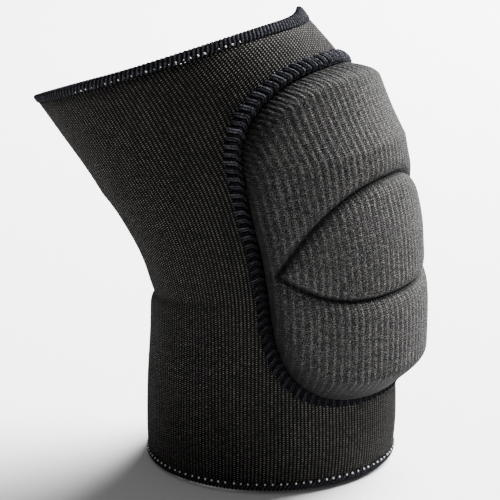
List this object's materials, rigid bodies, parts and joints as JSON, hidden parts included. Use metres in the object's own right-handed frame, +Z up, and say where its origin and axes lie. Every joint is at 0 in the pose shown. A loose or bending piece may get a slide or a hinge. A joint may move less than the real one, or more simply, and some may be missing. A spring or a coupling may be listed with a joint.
{
  "type": "volleyball knee pad",
  "caption": "Knitted knee sleeve, bent as worn, with overlocked hems and a bordered foam pad of grooved cushions over the front of the knee",
  "frame": {"origin": "the middle of the knee inside the sleeve, where the line up the shin meets the line up the thigh", "axes": "+Z up the shin, the pad faces -Y, the thigh leans back towards +Y, X across the knee"},
  "size_m": [0.1238, 0.195, 0.2077],
  "materials": {
    "black_knit": "matt elastic knit, black with warm grey stitches",
    "rib_knit": "matt fine ribbed knit, dark grey",
    "overlock_thread": "dense overlocked thread, blue black"
  },
  "bodies": {
    "root": {"sleeve": "black_knit", "shin_hem": "overlock_thread", "thigh_hem": "overlock_thread", "pad_border": "overlock_thread", "pad_cushion": "rib_knit", "knee_cushion": "rib_knit"}
  },
  "joints": []
}
